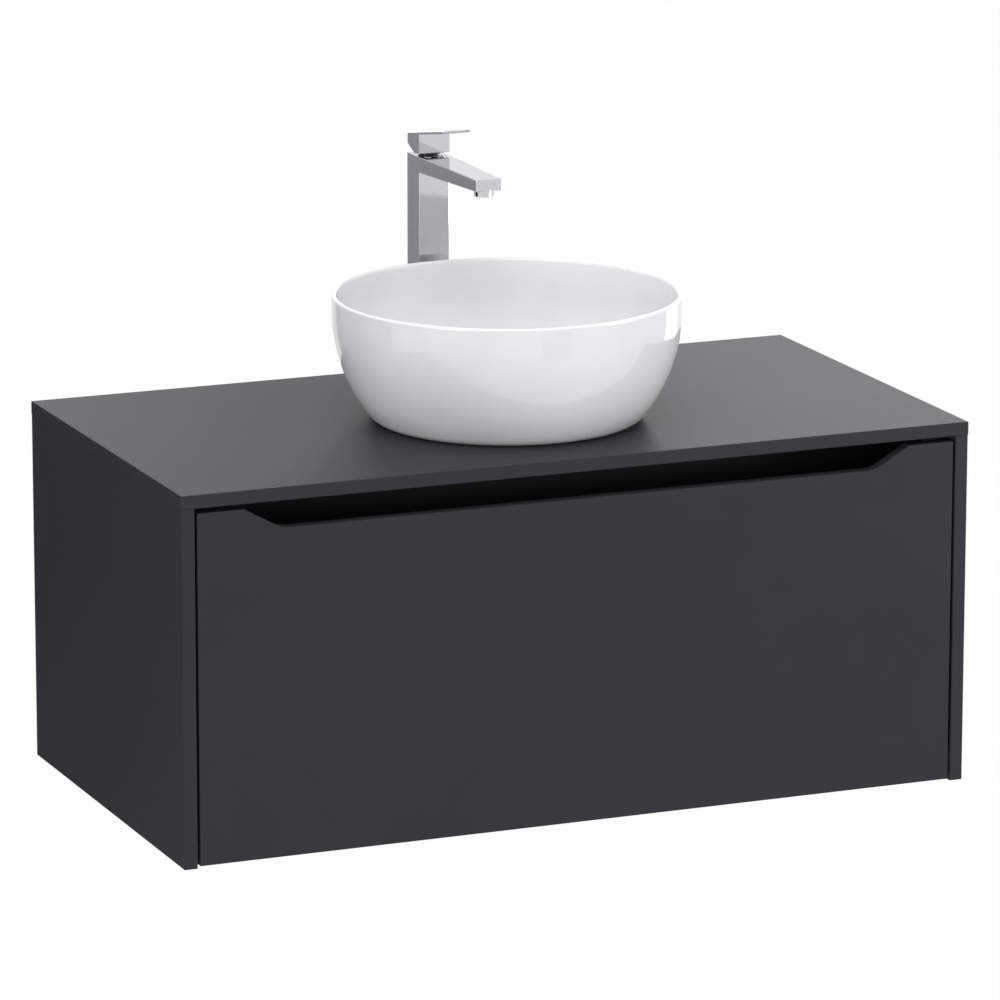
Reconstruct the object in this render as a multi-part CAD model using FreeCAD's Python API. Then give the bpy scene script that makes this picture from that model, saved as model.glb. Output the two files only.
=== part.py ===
import FreeCAD, Part
import math
import os

os.makedirs("parts", exist_ok=True)

# Wall-hung washstand with a vessel basin, in millimetres.
# X runs to the right, the front faces -Y, the wall is the plane Y = 0 and Z is up.
# The origin is the middle of the line of the two wall bolts.

V = FreeCAD.Vector
X, Y, Z = V(1, 0, 0), V(0, 1, 0), V(0, 0, 1)
ORIGIN = V(0, 0, 0)

# ---- Driving dimensions ----

# Carcass
WIDTH = 1000.0            # over the countertop
DEPTH = 530.0             # countertop's front edge to the wall
HEIGHT = 444.0            # countertop's surface to the foot of the side panels
BOARD = 16.0              # thickness of every carcass board
HANG_DROP = 60.0          # wall bolts below the countertop's surface
OVERHANG = 0.5            # countertop past the side panels and the front
ARRIS = 1.0               # rounding of the edge banding
FRONT_RAIL_H = 60.0
FRONT_RAIL_SET = 75.0     # space behind the drawer front, for the fingers
REAR_RAIL_H = 100.0
REAR_RAIL_DROP = 136.0    # top of the upper rear rail below the countertop's surface
LOW_RAIL_H = 80.0

# Drawer front and its finger pull
FRONT_SIDE_GAP = 3.5
FRONT_TOP_GAP = 6.5
FRONT_FOOT_STEP = 2.6     # drawer front ends this far above the panels' feet
PULL_INSET = 57.3         # end of the cut-out from the front's own edge
PULL_DEPTH = 26.2
PULL_SLOPE = 30.0         # degrees from level
PULL_RADIUS = 42.0

# Drawer box
SLIDE_GAP = 13.0          # drawer side to side panel, filled by the slide
DRAWER_LENGTH = 450.0
DRAWER_DROP = 240.0       # top of the drawer sides below the countertop's surface
DRAWER_LIFT = 19.0        # drawer sides' lower edge above the foot of the side panels
DRAWER_SIDE_H = HEIGHT - DRAWER_DROP - DRAWER_LIFT
DRAWER_BOTTOM = 8.0
GROOVE_DEPTH = 5.0
GROOVE_LIFT = 10.0        # groove above the sides' lower edge
GALLERY_R = 5.0
GALLERY_RISE = 35.0       # rail's axis above the drawer sides

# Ball-bearing slide
SLIDE_LENGTH = 450.0
STEEL = 1.2
OUTER_HALF = 22.5
MIDDLE_HALF = 17.5
INNER_HALF = 12.5
OUTER_FLANGE = 9.0
MIDDLE_FLANGE = 8.2
INNER_FLANGE = 9.0
SLIDE_SPACE = 0.6         # cabinet member's web to middle member's web

# Basin
BASIN_TO_FRONT = 235.0    # basin's axis from the countertop's front edge
BASIN_R = 209.5
BASIN_H = 151.8
BELLY_H = 131.0           # height at which the wall stands upright
WALL_ARC = 198.0
FOOT_ARC = 17.7
WALL = 6.0
INNER_FOOT_ARC = 40.0
FLOOR_EDGE = 18.0         # inside floor where it meets the wall
FLOOR_DRAIN = 14.0        # inside floor at the waste
UNDER_RELIEF = 5.0
FOOT_RING = 14.0
BOSS_R = 46.0

# Waste
TAIL_R = 20.95            # outside of the G 1 1/4 thread
TAIL_WALL = 3.45
TAIL_BORE = TAIL_R - TAIL_WALL
DRAIN_R = TAIL_R + 2.05   # hole through the basin
WASTE_HOLE_R = TAIL_R + 4.05  # hole through the countertop
RECESS_R = 33.0
RECESS_DEPTH = 3.0
TAIL_DROP = 50.0          # end of the tail below the countertop's surface
FLANGE_R = 31.5
FLANGE_T = 2.5
SEAL_T = 1.5
GASKET_T = 2.0            # ring between the basin and the countertop
STEM_R = 4.0
PLUG_R = 30.0
PLUG_T = 4.5
PLUG_LIFT = 8.0

# Trap
PIPE_R = 16.0
PIPE_WALL = 1.6
PIPE_DROP = 100.0         # level pipe's axis below the countertop's surface
BEND_R = 30.0
TRAP_TO_WALL = 85.0
TRAP_R = 27.0
TRAP_HEAD_H = 58.0
CUP_R = 30.0
CUP_DROP = 215.0
OUTLET_STUB = 40.0        # outlet pipe past the wall plane
ROSETTE_R = 32.0

# Tap
TAP_TO_WALL = 45.0
TAP_W = 40.0
TAP_D = 39.0
TAP_H = 276.5             # body's top above the countertop
TAP_GASKET = 1.5
TAP_HOLE_R = 17.5
SPOUT_REACH = 194.5       # tap's axis to the tip of the spout
SPOUT_TIP_W = 34.0
SPOUT_RISE = 2.2          # tip above the top of the column
SPOUT_ROOT_T = 19.4
SPOUT_TIP_T = 14.1
AERATOR_R = 12.0
AERATOR_INSET = 16.0      # aerator's axis from the tip
AERATOR_DROP = 8.5        # below the spout's underside at the tip
WATERWAY_R = 3.5
INLET_R = 4.5             # minor radius of the M10 inlet threads
INLET_DEPTH = 12.0
INLET_X = 8.0
CARTRIDGE_R = 12.5
CARTRIDGE_H = 35.0
STUD_R = 4.0

# Handle
HANDLE_GAP = 4.0          # handle's lower edge above the tap's body
PIVOT_RISE = 13.5         # lift axle above the tap's body
LEVER_SLOPE = 10.0        # degrees from level
LEVER_REACH = 94.0        # tap's axis to the lever's tip
LEVER_T = 3.6
LEVER_TIP_W = 36.0
LEVER_BACK_RISE = 25.0    # lever's rear edge above the tap's body
AXLE_R = 2.0

# Clearances and fits
RUNNING = 0.05            # radial, pins and stems that turn or slide
THREAD_FIT = 0.05         # radial, nuts on their threads
PIPE_FIT = 0.1            # radial, sleeves over pipes
LOOSE = 0.5               # between parts that pass each other
MOVING_GAP = 0.4          # between the cartridge, the tap's body and the turning yoke

# ---- Planes worked out from those sizes ----

Z_TOP = HANG_DROP
Z_UNDER = Z_TOP - BOARD
Z_FOOT = Z_TOP - HEIGHT
Y_EDGE = -DEPTH
Y_FRONT = Y_EDGE + OVERHANG
Y_FRONT_BACK = Y_FRONT + BOARD
X_OUT = WIDTH / 2 - OVERHANG
X_IN = X_OUT - BOARD

FRONT_HALF = X_IN - FRONT_SIDE_GAP
FRONT_TOP = Z_UNDER - FRONT_TOP_GAP
FRONT_FOOT = Z_FOOT + FRONT_FOOT_STEP
FRONT_RAIL_Y = Y_FRONT_BACK + FRONT_RAIL_SET

SIDE_OUT = X_IN - SLIDE_GAP
SIDE_IN = SIDE_OUT - BOARD
SIDE_TOP = Z_TOP - DRAWER_DROP
SIDE_FOOT = SIDE_TOP - DRAWER_SIDE_H
FLOOR_LOW = SIDE_FOOT + GROOVE_LIFT
FLOOR_TOP = FLOOR_LOW + DRAWER_BOTTOM
DRAWER_END = Y_FRONT_BACK + DRAWER_LENGTH
GALLERY_Z = SIDE_TOP + GALLERY_RISE
SLIDE_Z = (SIDE_TOP + SIDE_FOOT) / 2

BASIN_Y = Y_EDGE + BASIN_TO_FRONT
PIPE_Z = Z_TOP - PIPE_DROP
TRAP_Y = -TRAP_TO_WALL
TAP_Y = -TAP_TO_WALL
BODY_TOP = Z_TOP + TAP_H


# ---- Shape helpers ----

PAST = 1.0                # cutters run this far past the faces they open
SCREW_R = 2.0
HEAD_R = 3.8
HEAD_H = 2.0
GRIP_SHARE = 0.12         # finger groove's radius as a share of a hand nut's radius

def box(x0, x1, y0, y1, z0, z1):
    """Block between two corners."""
    return Part.makeBox(x1 - x0, y1 - y0, z1 - z0, V(x0, y0, z0))


def rod(radius, start, end):
    """Round bar from one point to another."""
    axis = end - start
    return Part.makeCylinder(radius, axis.Length, start, axis)


def tube(outer, inner, start, end):
    """Pipe from one point to another."""
    return rod(outer, start, end).cut(rod(inner, start, end))


def mirrored(shape):
    """The left-hand twin of a right-hand piece."""
    return shape.mirror(ORIGIN, X)


def both(shape):
    """A piece and its twin on the other side."""
    return [mirrored(shape), shape]


def corner_arc(before, corner, after, radius):
    """Start, middle and end of the arc that rounds one corner of an outline."""
    back = (before - corner).normalize()
    ahead = (after - corner).normalize()
    half = back.getAngle(ahead) / 2
    inward = (back + ahead).normalize()
    run = radius / math.tan(half)
    middle = corner + inward * (radius / math.sin(half) - radius)
    return corner + back * run, middle, corner + ahead * run


def face(corners, place):
    """Flat face from (u, v, corner radius) triples; place(u, v) puts them in space."""
    points = [place(u, v) for u, v, _ in corners]
    count = len(points)
    bends = []
    for i, (_, _, radius) in enumerate(corners):
        if radius:
            bends.append(corner_arc(points[i - 1], points[i], points[(i + 1) % count], radius))
        else:
            bends.append((points[i], None, points[i]))
    edges = []
    for i, (start, middle, end) in enumerate(bends):
        if middle:
            edges.append(Part.Arc(start, middle, end).toShape())
        following = bends[(i + 1) % count][0]
        if end.distanceToPoint(following) > 1e-6:
            edges.append(Part.LineSegment(end, following).toShape())
    return Part.Face(Part.Wire(edges))


def slab_x(corners, x0, x1):
    """Outline of (y, z, radius) corners, drawn out along X."""
    return face(corners, lambda y, z: V(x0, y, z)).extrude(X * (x1 - x0))


def slab_y(corners, y0, y1):
    """Outline of (x, z, radius) corners, drawn out along Y."""
    return face(corners, lambda x, z: V(x, y0, z)).extrude(Y * (y1 - y0))


def slab_z(corners, z0, z1):
    """Outline of (x, y, radius) corners, drawn out along Z."""
    return face(corners, lambda x, y: V(x, y, z0)).extrude(Z * (z1 - z0))


def turned(corners, y, z):
    """Outline of (radius, height, corner radius) corners, spun about a vertical axis."""
    profile = face(corners, lambda r, h: V(r, y, z + h))
    return profile.revolve(V(0, y, 0), Z, 360)


def rounded(shape, radius, wanted):
    """Shape with every edge rounded whose middle passes the test."""
    edges = [e for e in shape.Edges if wanted(e)]
    return shape.makeFillet(radius, edges)


def on_plane(edge, axis, value):
    """Whether a whole edge lies in the plane axis = value."""
    return all(abs(p.dot(axis) - value) < 1e-4 for p in edge.discretize(3))


def screw(at, direction, length, shank=SCREW_R, head=HEAD_R, head_h=HEAD_H):
    """Pan-head screw: the head stands on the face at `at`, the shank runs along direction."""
    top = at - direction * head_h
    body = rod(head, top, at).fuse(rod(shank, at, at + direction * length))
    side = Z if abs(direction.z) < 0.5 else Y
    cross = direction.cross(side)
    for arm in (side, cross):
        body = body.cut(rod(head_h / 3, top - arm * (head / 2), top + arm * (head / 2)))
    return body.removeSplitter()


def cut_all(shape, tools):
    """Shape with every tool cut out of it."""
    return shape.cut(Part.makeCompound(tools)) if tools else shape


def lobed(outer, lobes, start, end):
    """Hand nut blank: a round bar with finger grooves down its side."""
    axis = (end - start).normalize()
    side = X if abs(axis.x) < 0.5 else Y
    across = axis.cross(side)
    grooves = []
    for i in range(lobes):
        turn = 2 * math.pi * i / lobes
        middle = (side * math.cos(turn) + across * math.sin(turn)) * outer
        grooves.append(rod(outer * GRIP_SHARE, start + middle, end + middle))
    return cut_all(rod(outer, start, end), grooves)


def save(name, *solids):
    """Write one node as a STEP file; identical fasteners share a node as separate solids."""
    shape = solids[0] if len(solids) == 1 else Part.makeCompound(list(solids))
    shape.exportStep("parts/" + name + ".step")


# ---- Fasteners that several boards share ----

CAM_R = 7.5
CAM_DEPTH = 12.5
CAM_REACH = 34.0          # cam's axis from the end of the rail
CAM_BOLT_R = 3.5
CAM_BOLT_GRIP = 10.5      # length in the side panel
DOWEL_R = 4.0
DOWEL_GRIP = 10.0
DOWEL_LENGTH = 30.0
JOINT_OFFSET = 16.0       # cam above and dowel below the rail's middle
RAIL_JOINTS = [           # rail's low face in Y, its middle height, side of the cam
    (FRONT_RAIL_Y, Z_UNDER - FRONT_RAIL_H / 2, 1),
    (-BOARD, Z_TOP - REAR_RAIL_DROP - REAR_RAIL_H / 2, -1),
    (-BOARD, Z_FOOT + LOW_RAIL_H / 2, -1),
]


def cam_blanks():
    """Right-hand cam discs, each sunk in the inner face of its rail."""
    blanks = []
    for y, z, side in RAIL_JOINTS:
        face_y = y + BOARD if side > 0 else y
        at = V(X_IN - CAM_REACH, face_y, z + JOINT_OFFSET)
        blanks.append(rod(CAM_R, at, at - Y * (side * CAM_DEPTH)))
    return blanks


def cam_bolt_blanks():
    """Right-hand bolts that run from the side panel into each cam."""
    blanks = []
    for y, z, side in RAIL_JOINTS:
        at = V(0, y + BOARD / 2, z + JOINT_OFFSET)
        blanks.append(rod(CAM_BOLT_R, at + X * (X_IN - CAM_REACH), at + X * (X_IN + CAM_BOLT_GRIP)))
    return blanks


def dowel_blanks():
    """Right-hand wooden dowels, one under each cam."""
    blanks = []
    for y, z, side in RAIL_JOINTS:
        at = V(0, y + BOARD / 2, z - JOINT_OFFSET)
        end = X_IN + DOWEL_GRIP
        blanks.append(rod(DOWEL_R, at + X * (end - DOWEL_LENGTH), at + X * end))
    return blanks


ANGLE_LEG = 25.0
ANGLE_W = 18.0
ANGLE_T = 2.0
ANGLE_BEND = 1.5          # inside radius of the folded plates
ANGLE_HOLE = 0.6          # screw's place along each leg, as a share of it
ANGLE_INSET = 180.0       # angle's middle from the front of the panel
ANGLE_REAR = 150.0        # rear angle's middle from the wall
ANGLE_PLACES = [Y_FRONT + ANGLE_INSET, -ANGLE_REAR]
CARCASS_SCREW = 12.0


def top_angles():
    """Right-hand angle plates under the countertop."""
    plates = []
    for y in ANGLE_PLACES:
        outline = [
            (X_IN, Z_UNDER, 0),
            (X_IN, Z_UNDER - ANGLE_LEG, 0),
            (X_IN - ANGLE_T, Z_UNDER - ANGLE_LEG, 0),
            (X_IN - ANGLE_T, Z_UNDER - ANGLE_T, ANGLE_BEND),
            (X_IN - ANGLE_LEG, Z_UNDER - ANGLE_T, 0),
            (X_IN - ANGLE_LEG, Z_UNDER, 0),
        ]
        plates.append(slab_y(outline, y - ANGLE_W / 2, y + ANGLE_W / 2))
    return plates


def top_angle_screws():
    """Right-hand screws of those plates, one up and one sideways in each."""
    reach = ANGLE_LEG * ANGLE_HOLE
    screws = []
    for y in ANGLE_PLACES:
        screws.append(screw(V(X_IN - reach, y, Z_UNDER - ANGLE_T), Z, CARCASS_SCREW))
        screws.append(screw(V(X_IN - ANGLE_T, y, Z_UNDER - reach), X, CARCASS_SCREW))
    return screws


# ---- Hangers and wall plates ----

HANGER_W = 18.0
HANGER_FRONT = 110.0      # from the wall
HANGER_BACK = 40.0
HANGER_TOP = 20.0         # below the countertop's surface
HANGER_LOW = 75.0
HANGER_WALL = 2.0
HOOK_T = 9.0
HOOK_H = 12.0
HOOK_INSET = 9.0          # hook's middle from the side panel
HOOK_BLOCK = 14.0         # depth of the hook's block inside the housing
HOOK_DIP = 9.0            # tongue below the top of the wall plate's lip
HOOK_SOFT = 1.0
LIP_RISE = 20.0           # wall plate's lip above the bolt line
LIP_T = 2.0
LIP_GAP = 6.0             # clear space behind the lip
PLATE_T = 2.0
PLATE_DROP = 20.0
PLATE_STEP = 8.0
PLATE_IN = 80.0           # wall plate's inner end from the side panel
BOLT_INSET = 43.5         # wall bolt from the side panel's inner face
BOLT_HOLE_R = 4.25
ADJUSTER_R = 4.0
ADJUSTER_LENGTH = 30.0
ADJUSTER_LIFT = 13.0      # adjusters above and below the housing's middle
ADJUSTER_HEAD_R = 5.0
ADJUSTER_HEAD_H = 2.5
PLATE_OUT = 3.0           # wall plate's outer end from the side panel
HANGER_SCREW_FRONT = 20.0
HANGER_SCREW_BACK = 12.0
HANGER_HEAD_H = 1.5
HOOK_X = X_IN - HOOK_INSET
HOUSING_Z = Z_TOP - (HANGER_TOP + HANGER_LOW) / 2


def hanger_housing():
    """Right-hand housing on the side panel: a channel, open towards the wall."""
    x0 = X_IN - HANGER_W
    y0, y1 = -HANGER_FRONT, -HANGER_BACK
    z0, z1 = Z_TOP - HANGER_LOW, Z_TOP - HANGER_TOP
    outer = rounded(box(x0, X_IN, y0, y1, z0, z1), HANGER_WALL, lambda e: on_plane(e, X, x0))
    t = HANGER_WALL
    inner = box(x0 + t, X_IN - t, y0 + t, y1 + PAST, z0 + t, z1 - t)
    return cut_all(outer, [inner] + adjuster_shanks())


def adjuster_shanks():
    """Right-hand shanks of the height and depth screws."""
    shanks = []
    for lift in (-ADJUSTER_LIFT, ADJUSTER_LIFT):
        at = V(HOOK_X, -HANGER_FRONT, HOUSING_Z + lift)
        shanks.append(rod(ADJUSTER_R, at, at + Y * ADJUSTER_LENGTH))
    return shanks


def hanger_adjusters():
    """Right-hand adjusting screws, worked from inside the cabinet."""
    screws = []
    for lift in (-ADJUSTER_LIFT, ADJUSTER_LIFT):
        at = V(HOOK_X, -HANGER_FRONT, HOUSING_Z + lift)
        screws.append(screw(at, Y, ADJUSTER_LENGTH, ADJUSTER_R, ADJUSTER_HEAD_R, ADJUSTER_HEAD_H))
    return screws


def hanger_hook():
    """Right-hand hook: a flat bar that drops behind the wall plate's lip."""
    tongue = LIP_GAP / 2
    arm_z = LIP_RISE
    lip_back = -LIP_GAP
    block_y = -HANGER_FRONT + ADJUSTER_LENGTH + LOOSE
    low = HOUSING_Z - ADJUSTER_LIFT
    outline = [
        (block_y, arm_z + HOOK_H, HOOK_SOFT),
        (block_y, low, HOOK_SOFT),
        (block_y + HOOK_BLOCK, low, HOOK_SOFT),
        (block_y + HOOK_BLOCK, arm_z, HOOK_SOFT),
        (lip_back, arm_z, 0),
        (lip_back, arm_z - HOOK_DIP, 0),
        (lip_back + tongue, arm_z - HOOK_DIP, HOOK_SOFT),
        (lip_back + tongue, arm_z + HOOK_H, HOOK_SOFT * 2),
    ]
    return slab_x(outline, HOOK_X - HOOK_T / 2, HOOK_X + HOOK_T / 2)


def wall_plate():
    """Right-hand wall plate: flat on the wall, with a lip that the hook sits on."""
    outline = [
        (0, -PLATE_DROP, 0),
        (0, PLATE_STEP, 0),
        (-LIP_GAP, PLATE_STEP, 0),
        (-LIP_GAP, LIP_RISE, 0),
        (-LIP_GAP - LIP_T, LIP_RISE, 0),
        (-LIP_GAP - LIP_T, PLATE_STEP - PLATE_T, PLATE_T / 2),
        (-PLATE_T, PLATE_STEP - PLATE_T, 0),
        (-PLATE_T, -PLATE_DROP, 0),
    ]
    plate = slab_x(outline, X_IN - PLATE_IN, X_IN - PLATE_OUT)
    bolt_x = X_IN - BOLT_INSET
    return plate.cut(rod(BOLT_HOLE_R, V(bolt_x, -PLATE_T - PAST, 0), V(bolt_x, PAST, 0)))


def hanger_screws():
    """Right-hand screws through the housing's base into the side panel."""
    x = X_IN - HANGER_WALL
    places = (-HANGER_FRONT + HANGER_SCREW_FRONT, -HANGER_BACK - HANGER_SCREW_BACK)
    return [screw(V(x, y, HOUSING_Z), X, CARCASS_SCREW, head_h=HANGER_HEAD_H) for y in places]


# ---- Drawer slides ----

SLIDE_SET = 3.0           # slide's front end behind the drawer front
SLIDE_START = Y_FRONT_BACK + SLIDE_SET
SLIDE_END = SLIDE_START + SLIDE_LENGTH
HOLE_FRONT = 37.0         # from the slide's front end
HOLE_REAR = 40.0          # from its rear end
SLIDE_HOLES = [SLIDE_START + HOLE_FRONT, (SLIDE_START + SLIDE_END) / 2, SLIDE_END - HOLE_REAR]
SLIDE_HEAD_R = 3.5
SLIDE_HEAD_H = 1.8


def channel(web_x, flange_x, half):
    """C-shaped slide member: its web lies at web_x and its flanges reach to flange_x."""
    inward = math.copysign(STEEL, flange_x - web_x)
    bend = STEEL * 1.5
    outline = [
        (web_x, -half, bend),
        (web_x, half, bend),
        (flange_x, half, 0),
        (flange_x, half - STEEL, 0),
        (web_x + inward, half - STEEL, bend / 3),
        (web_x + inward, -half + STEEL, bend / 3),
        (flange_x, -half + STEEL, 0),
        (flange_x, -half, 0),
    ]
    return slab_y([(x, z + SLIDE_Z, r) for x, z, r in outline], SLIDE_START, SLIDE_END)


def outer_slide_screws():
    """Right-hand flat screws that hold the cabinet member, flush with its web."""
    x = X_IN - STEEL
    screws = []
    for y in SLIDE_HOLES:
        head = rod(SLIDE_HEAD_R, V(x, y, SLIDE_Z), V(X_IN, y, SLIDE_Z))
        shank = rod(SCREW_R, V(X_IN, y, SLIDE_Z), V(X_IN + CARCASS_SCREW, y, SLIDE_Z))
        screws.append(head.fuse(shank))
    return screws


def inner_slide_screws():
    """Right-hand screws that hold the drawer member to the drawer side."""
    x = SIDE_OUT + STEEL
    sizes = (CARCASS_SCREW, SCREW_R, SLIDE_HEAD_R, SLIDE_HEAD_H)
    return [screw(V(x, y, SLIDE_Z), -X, *sizes) for y in SLIDE_HOLES]


def make_slides():
    """Three members a side: cabinet, middle and drawer."""
    outer = channel(X_IN, X_IN - OUTER_FLANGE, OUTER_HALF)
    outer = cut_all(outer, outer_slide_screws())
    middle_web = X_IN - STEEL - SLIDE_SPACE
    middle = channel(middle_web, middle_web - MIDDLE_FLANGE, MIDDLE_HALF)
    inner = channel(SIDE_OUT, SIDE_OUT + INNER_FLANGE, INNER_HALF)
    inner = cut_all(inner, inner_slide_screws())
    for name, right in (("outer", outer), ("middle", middle), ("inner", inner)):
        save("slide_" + name + "_right", right)
        save("slide_" + name + "_left", mirrored(right))


# ---- Carcass ----

def side_panel():
    """Right-hand panel, drilled for its fasteners."""
    panel = box(X_IN, X_OUT, Y_FRONT, 0, Z_FOOT, Z_UNDER)
    panel = rounded(panel, ARRIS, lambda e: on_plane(e, Y, Y_FRONT) and not on_plane(e, Z, Z_UNDER))
    tools = cam_bolt_blanks() + dowel_blanks() + top_angle_screws()
    return cut_all(panel, tools + hanger_screws() + outer_slide_screws())


def countertop():
    """Top board with the tap hole and the waste hole."""
    top = box(-WIDTH / 2, WIDTH / 2, Y_EDGE, 0, Z_UNDER, Z_TOP)
    top = rounded(top, ARRIS, lambda e: not on_plane(e, Y, 0))
    waste = rod(WASTE_HOLE_R, V(0, BASIN_Y, Z_UNDER - PAST), V(0, BASIN_Y, Z_TOP + PAST))
    tap = rod(TAP_HOLE_R, V(0, TAP_Y, Z_UNDER - PAST), V(0, TAP_Y, Z_TOP + PAST))
    tools = [waste, tap]
    for right in top_angle_screws():
        tools += both(right)
    return cut_all(top, tools)


def rail(index, low, high):
    """Board between the side panels, with its cams, bolts and dowels let in."""
    y = RAIL_JOINTS[index][0]
    board = box(-X_IN, X_IN, y, y + BOARD, low, high)
    tools = []
    for blanks in (cam_blanks(), cam_bolt_blanks(), dowel_blanks()):
        tools += both(blanks[index])
    return cut_all(board, tools)


def make_carcass():
    """Boards, joints, angle plates and hangers."""
    save("countertop", countertop())
    panel = side_panel()
    save("side_panel_right", panel)
    save("side_panel_left", mirrored(panel))
    save("front_rail", rail(0, Z_UNDER - FRONT_RAIL_H, Z_UNDER))
    rear_top = Z_TOP - REAR_RAIL_DROP
    save("rear_rail_upper", rail(1, rear_top - REAR_RAIL_H, rear_top))
    save("rear_rail_lower", rail(2, Z_FOOT, Z_FOOT + LOW_RAIL_H))

    bolts = cam_bolt_blanks()
    cams = [cam.cut(bolt) for cam, bolt in zip(cam_blanks(), bolts)]
    save("cam_locks", *[s for cam in cams for s in both(cam)])
    save("cam_bolts", *[s for bolt in bolts for s in both(bolt)])
    save("dowels", *[s for dowel in dowel_blanks() for s in both(dowel)])

    screws = top_angle_screws()
    angles = [cut_all(plate, screws) for plate in top_angles()]
    save("top_angles", *[s for plate in angles for s in both(plate)])
    housing = cut_all(hanger_housing(), hanger_screws())
    save("hanger_housings", *both(housing))
    save("hanger_hooks", *both(hanger_hook()))
    save("hanger_adjusters", *[s for one in hanger_adjusters() for s in both(one)])
    save("wall_plates", *both(wall_plate()))
    screws += hanger_screws() + outer_slide_screws()
    save("carcass_screws", *[s for one in screws for s in both(one)])


# ---- Drawer ----

BRACKET_LEG = 25.0
BRACKET_W = 20.0
BRACKET_T = 2.0
BRACKET_RISES = [30.0, DRAWER_SIDE_H - 35.0]  # brackets' middles above the drawer floor
BACK_SCREW = 36.0
BACK_SCREW_INSET = 40.0   # from the drawer back's upper and lower edges
HOLDER_W = BOARD
HOLDER_H = 20.0
HOLDER_D = 12.0
HOLDER_SOFT = 2.0
SOCKET = 6.0                      # gallery rail's grip in each holder


def front_brackets():
    """Right-hand angle brackets between the drawer side and the drawer front."""
    brackets = []
    for rise in BRACKET_RISES:
        z = FLOOR_TOP + rise
        outline = [
            (SIDE_IN, Y_FRONT_BACK, 0),
            (SIDE_IN, Y_FRONT_BACK + BRACKET_LEG, 0),
            (SIDE_IN - BRACKET_T, Y_FRONT_BACK + BRACKET_LEG, 0),
            (SIDE_IN - BRACKET_T, Y_FRONT_BACK + BRACKET_T, ANGLE_BEND),
            (SIDE_IN - BRACKET_LEG, Y_FRONT_BACK + BRACKET_T, 0),
            (SIDE_IN - BRACKET_LEG, Y_FRONT_BACK, 0),
        ]
        brackets.append(slab_z(outline, z - BRACKET_W / 2, z + BRACKET_W / 2))
    return brackets


def bracket_screws():
    """Right-hand screws of those brackets, one to the front and one to the side."""
    reach = BRACKET_LEG * ANGLE_HOLE
    screws = []
    for rise in BRACKET_RISES:
        z = FLOOR_TOP + rise
        screws.append(screw(V(SIDE_IN - reach, Y_FRONT_BACK + BRACKET_T, z), -Y, CARCASS_SCREW))
        screws.append(screw(V(SIDE_IN - BRACKET_T, Y_FRONT_BACK + reach, z), X, CARCASS_SCREW))
    return screws


def back_screws():
    """Right-hand screws through the drawer side into the end of the drawer back."""
    x = SIDE_OUT
    y = DRAWER_END - BOARD / 2
    heights = (FLOOR_TOP + BACK_SCREW_INSET, SIDE_TOP - BACK_SCREW_INSET)
    return [rod(SCREW_R, V(x, y, z), V(x - BACK_SCREW, y, z)) for z in heights]


def drawer_front():
    """Front board with the finger pull cut out of its top edge."""
    floor = FRONT_TOP - PULL_DEPTH
    top_x = FRONT_HALF - PULL_INSET
    low_x = top_x - PULL_DEPTH / math.tan(math.radians(PULL_SLOPE))
    outline = [
        (-FRONT_HALF, FRONT_FOOT, 0),
        (FRONT_HALF, FRONT_FOOT, 0),
        (FRONT_HALF, FRONT_TOP, 0),
        (top_x, FRONT_TOP, 0),
        (low_x, floor, PULL_RADIUS),
        (-low_x, floor, PULL_RADIUS),
        (-top_x, FRONT_TOP, 0),
        (-FRONT_HALF, FRONT_TOP, 0),
    ]
    board = slab_y(outline, Y_FRONT, Y_FRONT_BACK)
    board = rounded(board, ARRIS, lambda e: on_plane(e, Y, Y_FRONT))
    tools = []
    for one in bracket_screws():
        tools += both(one)
    return cut_all(board, tools)


def drawer_side():
    """Right-hand drawer side, grooved for the drawer bottom."""
    board = box(SIDE_IN, SIDE_OUT, Y_FRONT_BACK, DRAWER_END, SIDE_FOOT, SIDE_TOP)
    y0, y1 = Y_FRONT_BACK - PAST, DRAWER_END + PAST
    groove = box(SIDE_IN - PAST, SIDE_IN + GROOVE_DEPTH, y0, y1, FLOOR_LOW, FLOOR_TOP)
    return cut_all(board, [groove] + bracket_screws() + back_screws() + inner_slide_screws())


def gallery_holders():
    """Right-hand blocks at the two ends of the gallery rail."""
    x = (SIDE_IN + SIDE_OUT) / 2
    half = HOLDER_W / 2
    front = box(x - half, x + half, Y_FRONT_BACK, Y_FRONT_BACK + HOLDER_D,
                GALLERY_Z - HOLDER_H / 2, GALLERY_Z + HOLDER_H / 2)
    rear = box(x - half, x + half, DRAWER_END - HOLDER_D, DRAWER_END, SIDE_TOP, GALLERY_Z + HOLDER_H / 2)
    blocks = []
    for block in (front, rear):
        soft = rounded(block, HOLDER_SOFT, lambda e: on_plane(e, Z, GALLERY_Z + HOLDER_H / 2))
        blocks.append(soft.cut(gallery_rail()))
    return blocks


def gallery_rail():
    """Right-hand round rail above the drawer side."""
    x = (SIDE_IN + SIDE_OUT) / 2
    start = V(x, Y_FRONT_BACK + HOLDER_D - SOCKET, GALLERY_Z)
    end = V(x, DRAWER_END - HOLDER_D + SOCKET, GALLERY_Z)
    return rod(GALLERY_R, start, end)


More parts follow.
